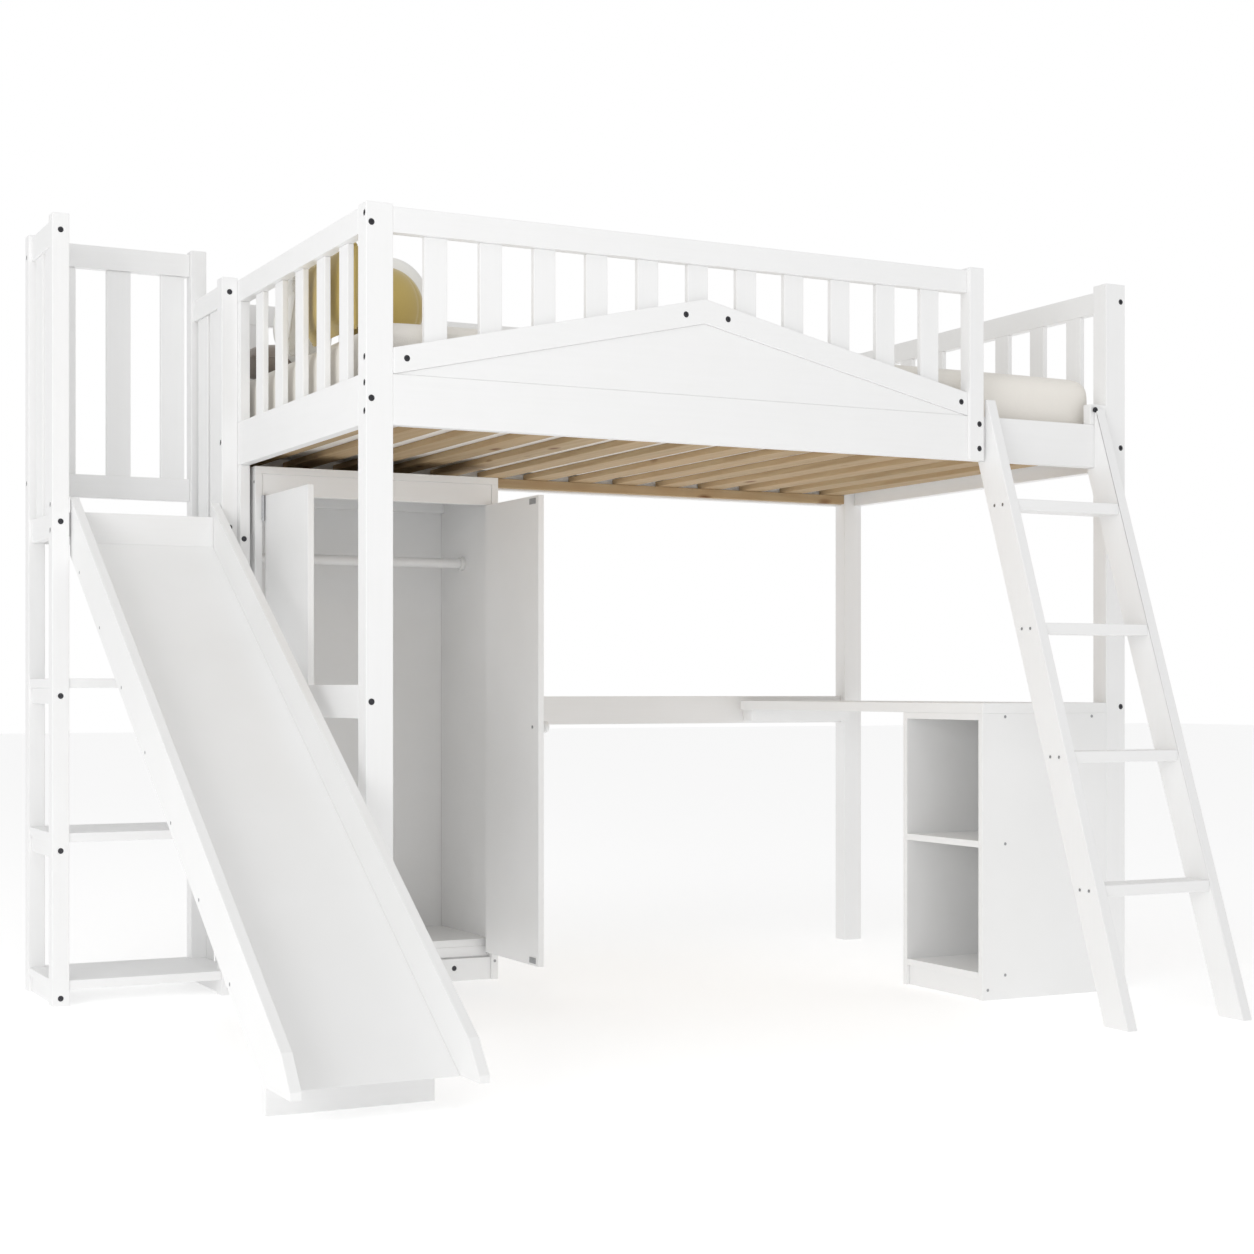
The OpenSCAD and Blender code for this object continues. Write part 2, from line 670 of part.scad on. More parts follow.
// Battens lie against the underside of the sliding board, and the foot board stands on the floor.
batten_w = 40;
batten_t = 24;
batten_first = 160;
batten_pitch = 400;
foot_board_t = 24;
foot_board_in = 190;
function slide_under_at(y) = slide_board_at(y) - slide_board_h;
module slide_battens() place() color(white_paint) {
  inside = slide_w - 2 * slide_side_t;
  for (i = [0 : 2])
    slide_frame()
      translate([slide_side_t, -batten_first - batten_pitch * i,
        slide_under_at(batten_first + batten_pitch * i)])
        rotate([atan(slide_fall), 0, 0])
          translate([0, -batten_w / 2, -batten_t]) cube([inside, batten_w, batten_t]);
  foot_y = slide_run - foot_board_in;
  slide_plank(slide_side_t, inside, [
    [-foot_y, 0], [foot_board_t - foot_y, 0],
    [foot_board_t - foot_y, slide_under_at(foot_y - foot_board_t)],
    [-foot_y, slide_under_at(foot_y)]]);
}

// Wardrobe carcass.
plinth_in = 8;
apron_in = 2;
back_strip_h = 41;
back_strip_drop = 8;
carcass_screws = [for (x = [wardrobe_r - panel_t / 2, wardrobe_x + panel_t / 2])
  [x, wardrobe_front, plinth_h - 10, "y", 25]];
apron_screws = [for (s = [[wardrobe_x, "x"], [wardrobe_r, "-x"]])
  [s[0], wardrobe_front + apron_in + panel_t / 2, carcass_h - 20, s[1], 40]];
plinth_bolts = [for (x = [in_l + 101, in_r - 101])
  [x, wardrobe_front + plinth_in, 33, "y", panel_t - bolt_skin]];
module wardrobe_sides() place() color(white_paint)
  difference() {
    for (x = [wardrobe_x, in_r])
      board([x, wardrobe_front, 0], [x + panel_t, bed_width, carcass_h]);
    screw_holes(carcass_screws);
    screw_holes(apron_screws);
    screw_holes(hinge_screws);
  }
module wardrobe_top() place() color(white_paint)
  board([wardrobe_x, wardrobe_front, carcass_h], [wardrobe_r, bed_width, wardrobe_h]);
module wardrobe_back() place() color(white_paint)
  board([in_l, back_y, plinth_h], [in_r, bed_width, carcass_h]);
module wardrobe_floor() place() color(white_paint)
  board([in_l, wardrobe_front + step_in, floor_z], [in_r, back_y, floor_z + panel_t]);
module wardrobe_rails() place() color(white_paint)
  difference() {
    union() {
      board([in_l, wardrobe_front + apron_in, apron_z],
        [in_r, wardrobe_front + apron_in + panel_t, carcass_h]);
      board([in_l, wardrobe_front + step_in, strip_z],
        [in_r, wardrobe_front + step_in + panel_t, floor_z]);
      board([in_l, back_y - panel_t, carcass_h - back_strip_drop - back_strip_h],
        [in_r, back_y, carcass_h - back_strip_drop]);
    }
    screw_holes(apron_screws);
  }
module wardrobe_plinth() place() color(white_paint)
  drilled(plinth_bolts) {
    board([in_l, wardrobe_front + plinth_in, 0],
      [in_r, wardrobe_front + plinth_in + panel_t, plinth_h]);
    board([in_l, back_y - panel_t, 0], [in_r, back_y, plinth_h]);
  }
module hanging_rail() place() color(white_paint)
  translate([in_l, hanging_y, hanging_z]) rotate([0, 90, 0])
    cylinder(r = hanging_r, h = in_r - in_l);
socket_l = 12;
socket_wall = 5;
socket_play = 0.2;
module rail_sockets() place() color(white_paint)
  for (x = [in_l, in_r - socket_l])
    translate([x, hanging_y, hanging_z]) rotate([0, 90, 0])
      difference() {
        cylinder(r = hanging_r + socket_wall, h = socket_l);
        translate([0, 0, -e]) cylinder(r = hanging_r + socket_play, h = socket_l + 2 * e);
      }

// Door hinges. In a hinge's own frame the pin is on Z, the side panel is at low X and the
// closed door is at high X.
hinge_screws = [for (z = hinge_zs) for (dz = [-hinge_screw_rise, hinge_screw_rise])
  for (s = [[in_l, "-x"], [in_r, "x"]])
    [s[0], wardrobe_front + hinge_screw_in, z + dz, s[1], panel_t - 4]];
module knuckle(z0, z1, side)
  translate([0, 0, z0])
    difference() {
      union() {
        cylinder(r = knuckle_r, h = z1 - z0);
        translate([side > 0 ? leaf_gap / 2 : -leaf_play, 0, 0])
          cube([leaf_t, knuckle_r + leaf_gap + 0.2, z1 - z0]);
      }
      translate([0, 0, -e]) cylinder(r = hinge_bore_r, h = z1 - z0 + 2 * e);
    }
module frame_leaf() {
  half = hinge_h / 2;
  third = hinge_h / 6;
  difference() {
    union() {
      for (s = [[-half, -third - knuckle_gap], [third + knuckle_gap, half]])
        knuckle(s[0], s[1], -1);
      translate([-leaf_play, knuckle_r + leaf_gap, -half]) cube([leaf_t, leaf_reach, hinge_h]);
    }
    for (dz = [-hinge_screw_rise, hinge_screw_rise])
      translate([0, wardrobe_front + hinge_screw_in - hinge_y, dz]) rotate([0, -90, 0])
        translate([0, 0, -knuckle_r]) cylinder(r = screw_head_r + 0.2, h = 2 * knuckle_r);
  }
}
module door_leaf() {
  half = hinge_h / 2;
  third = hinge_h / 6;
  union() {
    knuckle(-third, third, 1);
    translate([leaf_gap / 2, knuckle_r + leaf_gap, -half]) cube([leaf_t, door_t - 1, hinge_h]);
  }
}
module at_hinges(x, side)
  for (z = hinge_zs) translate([x, hinge_y, z]) mirror([side > 0 ? 0 : 1, 0, 0]) children();
left_pin_x = in_l + leaf_play;
right_pin_x = in_r - leaf_play;
pin_cap_h = 1.5;
module wardrobe_hinge_leaves() place() color("silver")
  for (h = [[left_pin_x, 1], [right_pin_x, -1]])
    at_hinges(h[0], h[1]) {
      frame_leaf();
      translate([0, 0, -hinge_h / 2 - 1]) cylinder(r = hinge_pin_r, h = hinge_h + 2);
      for (z = [hinge_h / 2, -hinge_h / 2 - pin_cap_h])
        translate([0, 0, z]) cylinder(r = knuckle_r - 0.5, h = pin_cap_h);
    }
catch_half_w = 32;
catch_d = 30;
catch_h = 16;
module door_catches() place() color("gray")
  for (z = [floor_z + panel_t, apron_z - catch_h])
    board([(in_l + in_r) / 2 - catch_half_w, wardrobe_front + step_in, z],
      [(in_l + in_r) / 2 + catch_half_w, wardrobe_front + step_in + catch_d, z + catch_h]);

// A door and its fittings in the left hinge's frame, closed; the door stands open at rest.
module left_door_frame() translate([left_pin_x, hinge_y, 0]) rotate([0, 0, -90]) children();
module right_door_frame() translate([right_pin_x, hinge_y, 0]) rotate([0, 0, 90])
  mirror([1, 0, 0]) children();
door_y = wardrobe_front - hinge_y;
door_x0 = leaf_play;
door_x1 = door_x0 + door_w;
module door_panel()
  board([door_x0, door_y, door_z], [door_x1, door_y + door_t, door_z + door_h]);
module knob()
  translate([door_x1 - knob_in, door_y, knob_z]) rotate([90, 0, 0])
    rotate_extrude($fn = 48)
      polygon([[0, 0], [8, 0], [7, 3], [6, 6], [6, 9], [9, 12], [13, 15], [14.5, 19],
        [13.5, 23], [10, 26], [5, 27.5], [0, 28]]);
plate_w = 34;
plate_h = 14;
plate_t = 1;
plate_in = 14;
module door_hardware() {
  for (z = hinge_zs) translate([0, 0, z]) door_leaf();
  for (z = [door_z + plate_h - 1, door_z + door_h - plate_h + 1])
    translate([door_x1 - plate_in - plate_w, door_y + door_t, z - plate_h / 2])
      cube([plate_w, plate_t, plate_h]);
  translate([door_x1 - knob_in, door_y + door_t, knob_z]) rotate([-90, 0, 0])
    cylinder(r = screw_head_r, h = 1.5);
}
module door_left() place() color(white_paint) left_door_frame() door_panel();
module door_left_knob() place() color(white_paint) left_door_frame() knob();
module door_left_hardware() place() color("silver") left_door_frame() door_hardware();
module door_right() place() color(white_paint) right_door_frame() door_panel();
module door_right_knob() place() color(white_paint) right_door_frame() knob();
module door_right_hardware() place() color("silver") right_door_frame() door_hardware();

// Desk and its cabinet.
module desk_top() place() color(white_paint)
  difference() {
    board([desk_x, 0, desk_low], [inner_r, desk_l, desk_z]);
    translate([desk_x, desk_l, desk_low - e])
      difference() {
        translate([-e, -desk_corner_r, 0]) cube([desk_corner_r + e, desk_corner_r + e, desk_t + 2 * e]);
        translate([desk_corner_r, -desk_corner_r, -e]) cylinder(r = desk_corner_r, h = desk_t + 4 * e);
      }
  }
module desk_bearer() place() color(white_paint)
  board([desk_x + bearer_in, back_rail_y - bearer_t, desk_low - bearer_h],
    [inner_r, back_rail_y, desk_low]);
cabinet_board_zs = [desk_low, cabinet_shelf_z, cabinet_base_h + cabinet_t];
cabinet_screw_l = cabinet_t + 20;
cabinet_screws = concat(
  [for (z = cabinet_board_zs) [desk_x + 68, 0, z - cabinet_t / 2, "y", cabinet_screw_l]],
  [[inner_r - 45, 0, desk_low - cabinet_t / 2, "y", cabinet_screw_l],
   [desk_x + cabinet_base_in + cabinet_t / 2, 0, cabinet_base_h / 2, "y", cabinet_screw_l]]
);
module cabinet_end_panels() place() color(white_paint)
  difference() {
    for (y = [0, cabinet_back_y])
      board([desk_x, y, 0], [inner_r, y + cabinet_t, desk_low]);
    screw_holes(cabinet_screws);
  }
module cabinet_side_panel() place() color(white_paint)
  board([inner_r - cabinet_t, cabinet_t, 0], [inner_r, cabinet_back_y, desk_low]);
module cabinet_boards() place() color(white_paint)
  difference() {
    for (z = cabinet_board_zs)
      board([desk_x, cabinet_t, z - cabinet_t], [inner_r - cabinet_t, cabinet_back_y, z]);
    screw_holes(cabinet_screws);
  }
module cabinet_plinth() place() color(white_paint)
  difference() {
    board([desk_x + cabinet_base_in, cabinet_t, 0],
      [desk_x + cabinet_base_in + cabinet_t, cabinet_back_y, cabinet_base_h]);
    screw_holes(cabinet_screws);
  }

// Fasteners.
module frame_bolts() place() color(black_steel)
  bolts(concat(front_left_bolts, front_right_bolts, back_right_bolts, guard_post_bolts,
    ladder_block_bolts, gable_bolts, tower_bolts, leg_bolts, plinth_bolts));
module panel_screws() place() color("gray")
  screws(concat(ladder_screws, carcass_screws, apron_screws, cabinet_screws, hinge_screws,
    slide_screws));

// Bedding.
module soft_block(low, high, r)
  translate(low)
    union() {
      size = high - low;
      translate([r, 0, 0]) cube([size[0] - 2 * r, size[1], size[2]]);
      translate([0, r, 0]) cube([size[0], size[1] - 2 * r, size[2]]);
      for (x = [r, size[0] - r])
        for (y = [r, size[1] - r])
          translate([x, y, 0]) cylinder(r = r, h = size[2]);
    }
module mattress() place() color("ivory")
  soft_block([mattress_x, mattress_y, mattress_z],
    [mattress_x + mattress_l, mattress_y + mattress_w, mattress_z + mattress_t], mattress_r);
module pillows() place() color("white") {
  soft_block([pillow_x, pillow_y, mattress_top],
    [pillow_x + pillow_t, pillow_y + pillow_l, mattress_top + pillow_h], pillow_r);
  soft_block([back_pillow_x, mattress_y + mattress_w - pillow_t, mattress_top],
    [back_pillow_x + pillow_l, mattress_y + mattress_w, mattress_top + pillow_h], pillow_r);
}
module cushions() place() color("darkkhaki") {
  translate([cushion_x, cushion_y, mattress_top]) rotate([0, 0, cushion_turn])
    soft_block([-cushion_l / 2, -cushion_t / 2, 0], [cushion_l / 2, cushion_t / 2, cushion_h],
      cushion_r);
  translate([flat_cushion_x, mattress_y + mattress_w - flat_cushion[1] - flat_cushion_gap,
    mattress_top])
    soft_block([0, 0, 0], flat_cushion, cushion_r);
  translate([pillow_x + pillow_t + ball_r + ball_gap, ball_y, mattress_top + ball_r])
    sphere(r = ball_r, $fn = 64);
}

post_front_left();
post_front_right();
post_back_right();
guard_post();
left_legs();
rail_front();
rail_back();
rail_left();
rail_right();
guard_top_rails();
guard_slats();
guard_stiles();
gable_boards();
gable_panel();
slat_ledgers();
bed_slats();
back_mid_rail();
left_mid_rail();
ladder_stringers();
ladder_rungs();
ladder_block();
tower_posts();
tower_guard_rails();
tower_guard_slats();
tower_platform_rails();
tower_platform();
tower_shelf_rails();
tower_shelves();
slide_side_left();
slide_side_right();
slide_board();
slide_header();
slide_battens();
wardrobe_sides();
wardrobe_top();
wardrobe_back();
wardrobe_floor();
wardrobe_rails();
wardrobe_plinth();
hanging_rail();
rail_sockets();
wardrobe_hinge_leaves();
door_catches();
desk_top();
desk_bearer();
cabinet_end_panels();
cabinet_side_panel();
cabinet_boards();
cabinet_plinth();
frame_bolts();
panel_screws();
door_left();
door_left_knob();
door_left_hardware();
door_right();
door_right_knob();
door_right_hardware();
mattress();
pillows();
cushions();
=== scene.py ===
"""Finishes, bedding and stage for a loft bed with a desk, wardrobe, ladder and slide tower.

Lengths are metres in the shared frame: +X along the bed, +Y to its back, +Z up, floor at 0.
"""

import math

import bmesh
import bpy
from mathutils import Matrix, Vector, kdtree, noise


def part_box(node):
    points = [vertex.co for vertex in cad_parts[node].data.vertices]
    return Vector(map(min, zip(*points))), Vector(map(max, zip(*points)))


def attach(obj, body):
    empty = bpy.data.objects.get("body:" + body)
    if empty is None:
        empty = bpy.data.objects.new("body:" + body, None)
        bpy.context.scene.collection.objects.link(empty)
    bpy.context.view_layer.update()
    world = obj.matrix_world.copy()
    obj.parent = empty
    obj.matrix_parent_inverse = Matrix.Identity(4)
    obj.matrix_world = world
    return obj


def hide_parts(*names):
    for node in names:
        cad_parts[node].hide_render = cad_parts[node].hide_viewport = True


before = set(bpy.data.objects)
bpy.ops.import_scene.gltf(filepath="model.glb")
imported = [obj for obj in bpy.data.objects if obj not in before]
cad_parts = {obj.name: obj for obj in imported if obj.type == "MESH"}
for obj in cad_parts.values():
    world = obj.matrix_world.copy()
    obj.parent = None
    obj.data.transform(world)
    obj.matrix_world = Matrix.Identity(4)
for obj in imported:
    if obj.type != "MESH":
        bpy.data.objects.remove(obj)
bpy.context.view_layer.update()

bl_info = {
    "name": "Loft bed finishes",
    "version": (1, 0, 0),
    "blender": (4, 5, 0),
    "location": "3D View > Sidebar > Loft bed",
    "description": "Paints the timber and makes the bedding of a loft bed with a desk",
    "category": "Object",
}

MM = 0.001
ORIGIN = Vector((0.780, 0.230, 0.0))  # the frame's origin from the bed's front left corner

# Camera: its place from the bed's front left corner (its height is a setting), and its heading.
EYE_X, EYE_Y = -1.4905, -3.7997
HEADING = math.radians(-25.259)
SENSOR = 36.0  # its width in millimetres
SHIFT_X, SHIFT_Y = 0.101276, 0.050104

# Patterns of the finishes, in features a metre.
TIMBER_COATS = 9.0  # one every 11 cm
BOARD_COATS = 5.0  # one every 20 cm
PIMPLES = 300.0  # one every 3.3 mm
FIBRES = 420.0  # across the grain, one every 2.4 mm
STIPPLE = 700.0  # one every 1.4 mm
DYE = 14.0  # one every 7 cm
BOLT_CLOUDS = 260.0  # one every 4 mm
ZINC_CLOUDS = 180.0  # one every 5.5 mm

# Meshes of the bedding.
CUSHION_VOXEL = 6 * MM
MATTRESS_VOXEL = 16 * MM
MATTRESS_CORNER = 60 * MM
MATTRESS_EDGE = 38 * MM
WELT_RADIUS = 2.2 * MM
PLASTIC_EDGE = 0.6 * MM

# Timber that runs along each axis, so that its grain does too. The guard's top rails turn the
# corners of the bed, and take the grain of the long ones.
ALONG_X = (
    "rail_front",
    "rail_back",
    "gable_boards",
    "gable_panel",
    "back_mid_rail",
    "ladder_rungs",
    "slide_header",
    "slide_battens",
    "tower_platform",
    "tower_shelves",
    "wardrobe_rails",
    "hanging_rail",
    "guard_top_rails",
    "tower_guard_rails",
)
ALONG_Y = (
    "rail_left",
    "rail_right",
    "left_mid_rail",
    "tower_platform_rails",
    "tower_shelf_rails",
    "desk_bearer",
)
ALONG_Z = (
    "post_front_left",
    "post_front_right",
    "post_back_right",
    "guard_post",
    "left_legs",
    "guard_slats",
    "guard_stiles",
    "ladder_stringers",
    "ladder_block",
    "tower_posts",
    "tower_guard_slats",
)
BOARDS = (
    "slide_side_left",
    "slide_side_right",
    "slide_board",
    "wardrobe_sides",
    "wardrobe_top",
    "wardrobe_back",
    "wardrobe_floor",
    "wardrobe_plinth",
    "desk_top",
    "cabinet_end_panels",
    "cabinet_side_panel",
    "cabinet_boards",
    "cabinet_plinth",
    "door_left",
    "door_right",
)
KNOBS = ("door_left_knob", "door_right_knob")
BARE = {"bed_slats": "Y", "slat_ledgers": "X"}
ZINC = ("wardrobe_hinge_leaves", "door_left_hardware", "door_right_hardware", "panel_screws")
PLASTIC = ("rail_sockets", "door_catches")


def linear(code):
    """A colour as Blender takes it, from an sRGB hex code."""
    parts = [int(code[i : i + 2], 16) / 255 for i in (1, 3, 5)]
    return [c / 12.92 if c <= 0.04045 else ((c + 0.055) / 1.055) ** 2.4 for c in parts] + [1.0]


def colour(name, text, code):
    return bpy.props.FloatVectorProperty(
        name=name, description=text, default=linear(code)[:3], subtype="COLOR", min=0, max=1
    )


def length(name, text, value):
    return bpy.props.FloatProperty(name=name, description=text, default=value, unit="LENGTH", min=0)


class LoftBedFinish(bpy.types.PropertyGroup):
    paint: colour("Paint", "White paint on the timber and boards", "#F7F7F7")
    paint_shade: colour("Paint, thin", "The same paint where it lies thin over the grain", "#F1F1F0")
    # Both pine colours are wood tones darkened below real pine: painted shade for the shade under
    # the mattress.
    shaded_early_wood: colour("Pine, pale", "Early wood of the bare pine", "#AC9B7B")
    shaded_late_wood: colour("Pine, dark", "Late wood of the bare pine", "#8B704F")
    grain: length("Grain width", "Width of one growth ring on a board's face", 7 * MM)
    eased_edge: length("Eased edge", "Rounding of a timber edge", 1.6 * MM)
    board_edge: length("Board edge", "Rounding of a board's edge", 1.0 * MM)


class LoftBedBedding(bpy.types.PropertyGroup):
    ticking: colour("Mattress cover", "Knitted cover of the mattress", "#F5F1EA")
    cotton: colour("Pillow case", "Cotton of the pillow cases", "#F3F2EE")
    gold: colour("Gold velvet", "Velvet of the gold cushions", "#C4AD68")
    taupe: colour("Taupe velvet", "Velvet of the flat cushion", "#9A8F86")
    swell: length("Swell", "How far stuffing may push the cloth out", 12 * MM)
    weave: length("Weave", "Distance between drawn threads, coarser than real cloth", 2.2 * MM)


class LoftBedStage(bpy.types.PropertyGroup):
    floor: colour("Floor", "Plain pale floor", "#FCFCFC")
    floor_side: length("Floor side", "Side of the square floor", 60.0)
    floor_glow: bpy.props.FloatProperty(
        name="Floor glow", description="Light that the floor gives out", default=0.32, min=0
    )
    sky: bpy.props.FloatProperty(
        name="Sky", description="Strength of the surround as a light", default=0.64, min=0
    )
    eye_height: length("Eye height", "Height of the camera", 0.7404)
    focal: bpy.props.FloatProperty(
        name="Lens", description="Focal length of the camera", default=57.27, unit="CAMERA"
    )


def add(tree, kind, inputs=None, **settings):
    """Adds one node with its settings, values and incoming links."""
    made = tree.nodes.new(kind)
    for key, value in settings.items():
        setattr(made, key, value)
    for key, value in (inputs or {}).items():
        if isinstance(value, bpy.types.NodeSocket):
            tree.links.new(value, made.inputs[key])
        else:
            made.inputs[key].default_value = value
    return made


def new_finish(name, **constants):
    """A material with its shader's constants set on the shader's own sockets."""
    made = bpy.data.materials.new(name)
    made.use_nodes = True
    shader = made.node_tree.nodes["Principled BSDF"]
    for key, value in constants.items():
        shader.inputs[key.replace("_", " ")].default_value = value
    return made, made.node_tree, shader


def rgba(value):
    return [*value, 1.0]


def stretched(tree, scale):
    """Object coordinates with a scale for each axis, in features a metre."""
    place = add(tree, "ShaderNodeTexCoord")
    return add(
        tree, "ShaderNodeMapping", {"Vector": place.outputs["Object"], "Scale": scale}
    ).outputs["Vector"]


def grain_scale(axis, across, along):
    return [along if a == axis else across for a in "XYZ"]


def painted_timber(axis):
    """Satin white paint sprayed on planed pine: an even low sheen, with the growth rings just
    telling through it as long shallow ripples."""
    p = bpy.context.scene.loft_finish
    made, tree, shader = new_finish(
        "satin_white_paint_on_pine_" + axis, Roughness=0.42, IOR=1.5, Specular_IOR_Level=0.42
    )
    # Growth rings 5 to 9 mm wide on the face, and about 25 times as long.
    rings = add(
        tree,
        "ShaderNodeTexNoise",
        {
            "Vector": stretched(tree, grain_scale(axis, 1 / p.grain, 1 / (25 * p.grain))),
            "Scale": 1.0,
            "Detail": 3.0,
            "Roughness": 0.6,
        },
    )
    # Coats differ a little from board to board and over a hand's breadth.
    coats = add(
        tree,
        "ShaderNodeTexNoise",
        {"Vector": stretched(tree, [TIMBER_COATS] * 3), "Scale": 1.0, "Detail": 2.0},
    )
    both = add(
        tree,
        "ShaderNodeMath",
        {0: rings.outputs["Fac"], 1: coats.outputs["Fac"]},
        operation="MULTIPLY",
    )
    tone = add(
        tree,
        "ShaderNodeMix",
        {"Factor": both.outputs[0], "A": rgba(p.paint), "B": rgba(p.paint_shade)},
        data_type="RGBA",
    )
    tree.links.new(tone.outputs["Result"], shader.inputs["Base Color"])
    gloss = add(
        tree,
        "ShaderNodeMapRange",
        {"Value": coats.outputs["Fac"], "To Min": 0.36, "To Max": 0.48},
    )
    tree.links.new(gloss.outputs["Result"], shader.inputs["Roughness"])
    ripple = add(
        tree,
        "ShaderNodeBump",
        {"Strength": 0.35, "Distance": 0.25 * MM, "Height": rings.outputs["Fac"]},
    )
    tree.links.new(ripple.outputs["Normal"], shader.inputs["Normal"])
    return made


def painted_board():
    """White lacquer on fibreboard: smoother than the timber, with the soft pimples that a
    sprayed coat leaves, about 3 mm apart."""
    p = bpy.context.scene.loft_finish
    made, tree, shader = new_finish(
        "white_lacquer_on_fibreboard", Roughness=0.34, IOR=1.5, Specular_IOR_Level=0.45
    )
    pimples = add(
        tree,
        "ShaderNodeTexNoise",
        {"Vector": stretched(tree, [PIMPLES] * 3), "Scale": 1.0, "Detail": 1.0},
    )
    coats = add(
        tree,
        "ShaderNodeTexNoise",
        {"Vector": stretched(tree, [BOARD_COATS] * 3), "Scale": 1.0, "Detail": 3.0},
    )
    tone = add(
        tree,
        "ShaderNodeMix",
        {"Factor": coats.outputs["Fac"], "A": rgba(p.paint), "B": rgba(p.paint_shade)},
        data_type="RGBA",
    )
    tree.links.new(tone.outputs["Result"], shader.inputs["Base Color"])
    gloss = add(
        tree,
        "ShaderNodeMapRange",
        {"Value": coats.outputs["Fac"], "To Min": 0.28, "To Max": 0.40},
    )
    tree.links.new(gloss.outputs["Result"], shader.inputs["Roughness"])
    skin = add(
        tree,
        "ShaderNodeBump",
        {"Strength": 0.2, "Distance": 0.1 * MM, "Height": pimples.outputs["Fac"]},
    )
    tree.links.new(skin.outputs["Normal"], shader.inputs["Normal"])
    return made


def bare_pine(axis):
    """Planed bare pine: pale early wood and browner late wood in long bands, small knots, and a
    dry matt face. Both wood colours are also darkened below real pine as painted shade, for the
    shade that falls under the mattress."""
    p = bpy.context.scene.loft_finish
    made, tree, shader = new_finish(
        "bare_pine_" + axis, Roughness=0.68, IOR=1.5, Specular_IOR_Level=0.3
    )
    wander = add(
        tree,
        "ShaderNodeTexNoise",
        {
            "Vector": stretched(tree, grain_scale(axis, 18.0, 2.2)),
            "Scale": 1.0,
            "Detail": 3.0,
        },
    )
    # Bands of late wood 8 to 15 mm apart on the face.
    bands = add(
        tree,
        "ShaderNodeTexWave",
        {
            "Vector": stretched(tree, grain_scale(axis, 1.0, 0.06)),
            "Scale": 22.0,
            "Distortion": 7.0,
            "Detail": 3.0,
            "Detail Scale": 1.4,
            "Detail Roughness": 0.6,
        },
        bands_direction="DIAGONAL",
    )
    fibres = add(
        tree,
        "ShaderNodeTexNoise",
        {
            "Vector": stretched(tree, grain_scale(axis, FIBRES, 9.0)),
            "Scale": 1.0,
            "Detail": 2.0,
        },
    )
    # Knots 8 to 20 mm across, one every half metre or so of a slat.
    knots = add(
        tree,
        "ShaderNodeTexVoronoi",
        {"Vector": stretched(tree, grain_scale(axis, 9.0, 4.0)), "Scale": 1.0},
    )
    knot_spot = add(
        tree,
        "ShaderNodeMapRange",
        {
            "Value": knots.outputs["Distance"],
            "From Min": 0.05,
            "From Max": 0.13,
            "To Min": 1.0,
            "To Max": 0.0,
        },
    )
    mixed = add(
        tree,
        "ShaderNodeMath",
        {0: bands.outputs["Fac"], 1: fibres.outputs["Fac"]},
        operation="MULTIPLY",
    )
    # The two pine colours carry painted shade: they are darker than real pine, for the shade under
    # the mattress.
    wood = add(
        tree,
        "ShaderNodeMix",
        {"Factor": mixed.outputs[0], "A": rgba(p.shaded_early_wood), "B": rgba(p.shaded_late_wood)},
        data_type="RGBA",
    )
    boards = add(
        tree,
        "ShaderNodeMix",
        {
            "Factor": wander.outputs["Fac"],
            "A": wood.outputs["Result"],
            "B": linear("#C4A680"),
        },
        data_type="RGBA",
    )
    knotty = add(
        tree,
        "ShaderNodeMix",
        {
            "Factor": knot_spot.outputs["Result"],
            "A": boards.outputs["Result"],
            "B": linear("#7A5332"),
        },
        data_type="RGBA",
    )
    tree.links.new(knotty.outputs["Result"], shader.inputs["Base Color"])
    bump = add(
        tree,
        "ShaderNodeBump",
        {"Strength": 0.5, "Distance": 0.3 * MM, "Height": fibres.outputs["Fac"]},
    )
    tree.links.new(bump.outputs["Normal"], shader.inputs["Normal"])
    return made


def steel(name, code, rough, spots):
    """Plated or blackened steel: a metal whose coating is a little cloudy."""
    made, tree, shader = new_finish(name, Metallic=1.0, Roughness=rough)
    cloud = add(
        tree,
        "ShaderNodeTexNoise",
        {"Vector": stretched(tree, [spots] * 3), "Scale": 1.0, "Detail": 3.0},
    )
    tone = add(
        tree,
        "ShaderNodeMix",
        {
            "Factor": cloud.outputs["Fac"],
            "A": linear(code),
            "B": [c * 0.7 for c in linear(code)[:3]] + [1.0],
        },
        data_type="RGBA",
    )
    tree.links.new(tone.outputs["Result"], shader.inputs["Base Color"])
    gloss = add(
        tree,
        "ShaderNodeMapRange",
        {"Value": cloud.outputs["Fac"], "To Min": rough - 0.08, "To Max": rough + 0.1},
    )
    tree.links.new(gloss.outputs["Result"], shader.inputs["Roughness"])
    return made


def moulded_plastic():
    """White polypropylene, moulded: a soft sheen and a faint even stipple."""
    made, tree, shader = new_finish(
        "moulded_white_polypropylene", Roughness=0.45, IOR=1.49, Specular_IOR_Level=0.5
    )
    stipple = add(
        tree,
        "ShaderNodeTexNoise",
        {"Vector": stretched(tree, [STIPPLE] * 3), "Scale": 1.0, "Detail": 1.0},
    )
    tone = add(
        tree,
        "ShaderNodeMix",
        {"Factor": stipple.outputs["Fac"], "A": linear("#EFEFEE"), "B": linear("#E4E4E2")},
        data_type="RGBA",
    )
    tree.links.new(tone.outputs["Result"], shader.inputs["Base Color"])
    bump = add(
        tree,
        "ShaderNodeBump",
        {"Strength": 0.2, "Distance": 0.05 * MM, "Height": stipple.outputs["Fac"]},
    )
    tree.links.new(bump.outputs["Normal"], shader.inputs["Normal"])
    return made


